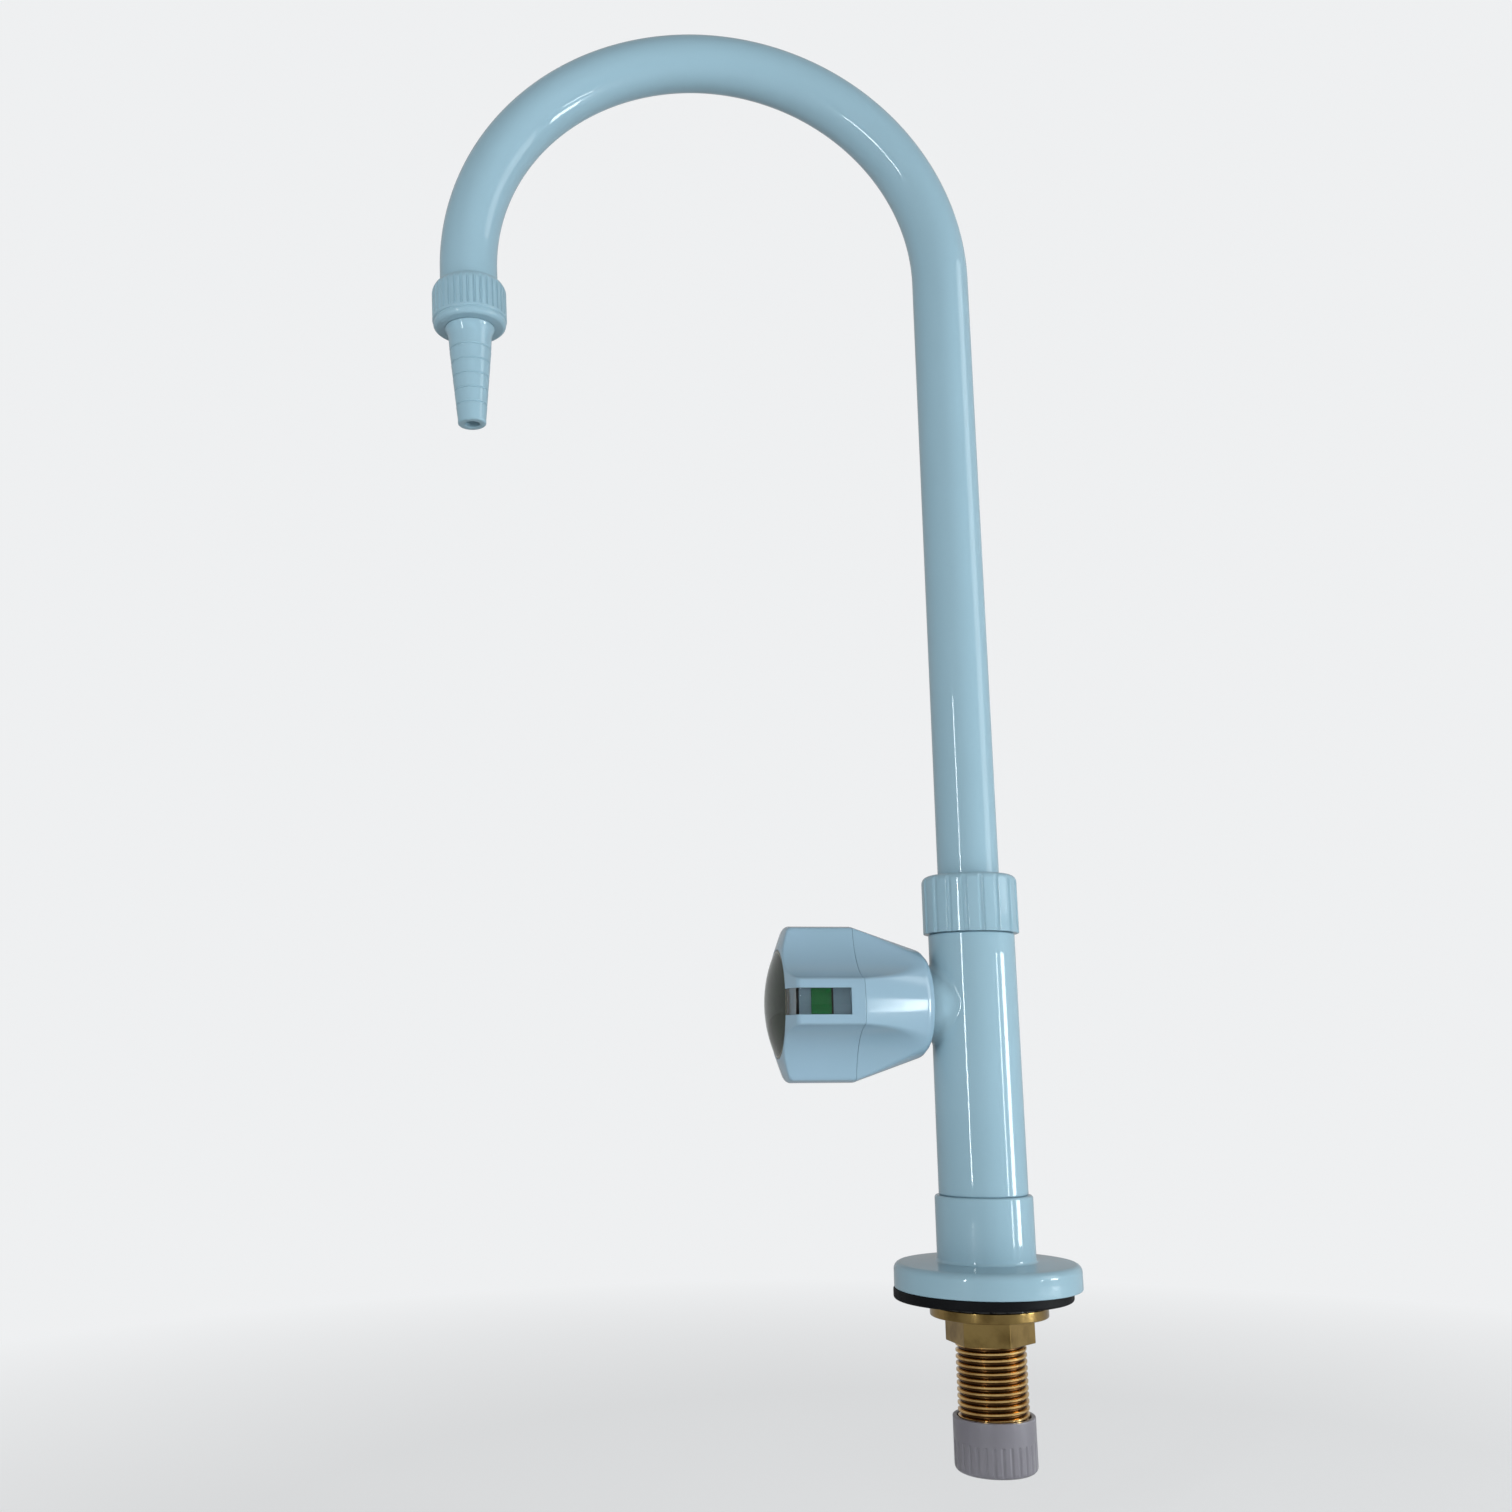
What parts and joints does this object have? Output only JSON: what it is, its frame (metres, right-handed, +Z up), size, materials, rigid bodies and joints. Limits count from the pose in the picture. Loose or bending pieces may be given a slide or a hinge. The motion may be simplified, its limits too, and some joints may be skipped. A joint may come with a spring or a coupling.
{
  "type": "water tap",
  "caption": "Deck mounted water tap with a swivelling swan neck spout, barbed hose outlet, one ribbed side handle and a threaded brass inlet shank with clamping nut.",
  "frame": {"origin": "on the column axis at the sealing face of the deck gasket, which is the top of the deck", "axes": "+Z up along the column; the spout and the handle both point along -X; +Y is away from the window in the handle"},
  "size_m": [0.2049, 0.056, 0.477],
  "materials": {
    "epoxy_coat": "gloss epoxy powder coat, pale blue grey",
    "handle_plastic": "gloss moulded plastic, pale cool grey",
    "clear_plastic": "clear moulded cover",
    "index_green": "dark olive printed disc",
    "index_label_green": "green printed strip, blank",
    "shank_brass": "turned brass thread, slightly dulled",
    "nut_brass": "machined brass, satin",
    "turned_brass": "turned brass, inside",
    "gasket_rubber": "black rubber, matt",
    "seal_rubber": "black nitrile rubber",
    "black_plastic": "black moulded plastic",
    "white_nylon": "natural nylon",
    "steel_screw": "stainless steel",
    "ceramic": null,
    "cap_plastic": "soft polyethylene, slightly translucent"
  },
  "bodies": {
    "column": {"column_body": "epoxy_coat", "base_flange": "epoxy_coat", "threaded_shank": "shank_brass", "shank_seal": "seal_rubber", "deck_gasket": "gasket_rubber", "swivel_collar": "epoxy_coat", "slip_ring": "white_nylon", "headwork_body": "turned_brass", "headwork_seal": "seal_rubber", "seat_seal": "seal_rubber", "fixed_disc": "ceramic"},
    "spout": {"gooseneck_tube": "epoxy_coat", "swivel_spigot": "turned_brass", "spigot_seals": "seal_rubber", "outlet_adapter": "turned_brass", "outlet_seal": "seal_rubber", "outlet_nut": "epoxy_coat", "hose_nozzle": "epoxy_coat"},
    "handle": {"handle_shell": "handle_plastic", "handle_skirt": "handle_plastic", "index_lens": "clear_plastic", "index_disc": "index_green", "index_label": "index_label_green", "handle_screw": "steel_screw", "spline_insert": "white_nylon", "spindle": "turned_brass", "spindle_seals": "seal_rubber", "spindle_clip": "steel_screw", "moving_disc": "ceramic"},
    "clamp": {"mounting_nut": "nut_brass", "ribbed_washer": "black_plastic"},
    "cap": {"thread_cap": "cap_plastic"}
  },
  "joints": [
    {"name": "spout_swivel", "type": "hinge", "parent": "column", "child": "spout", "pos_m": [0, 0, 0.115], "axis": [0, 0, 1], "continuous": true},
    {"name": "handle_turn", "type": "hinge", "parent": "column", "child": "handle", "pos_m": [0, 0, 0.0868], "axis": [-1, 0, 0], "range_deg": [0, 90]},
    {"name": "nut_run", "type": "slide", "parent": "column", "child": "clamp", "axis": [0, 0, -1], "range_m": [0, 0.018]},
    {"name": "cap_pull", "type": "slide", "parent": "column", "child": "cap", "axis": [0, 0, -1], "range_m": [0, 0.025]}
  ]
}
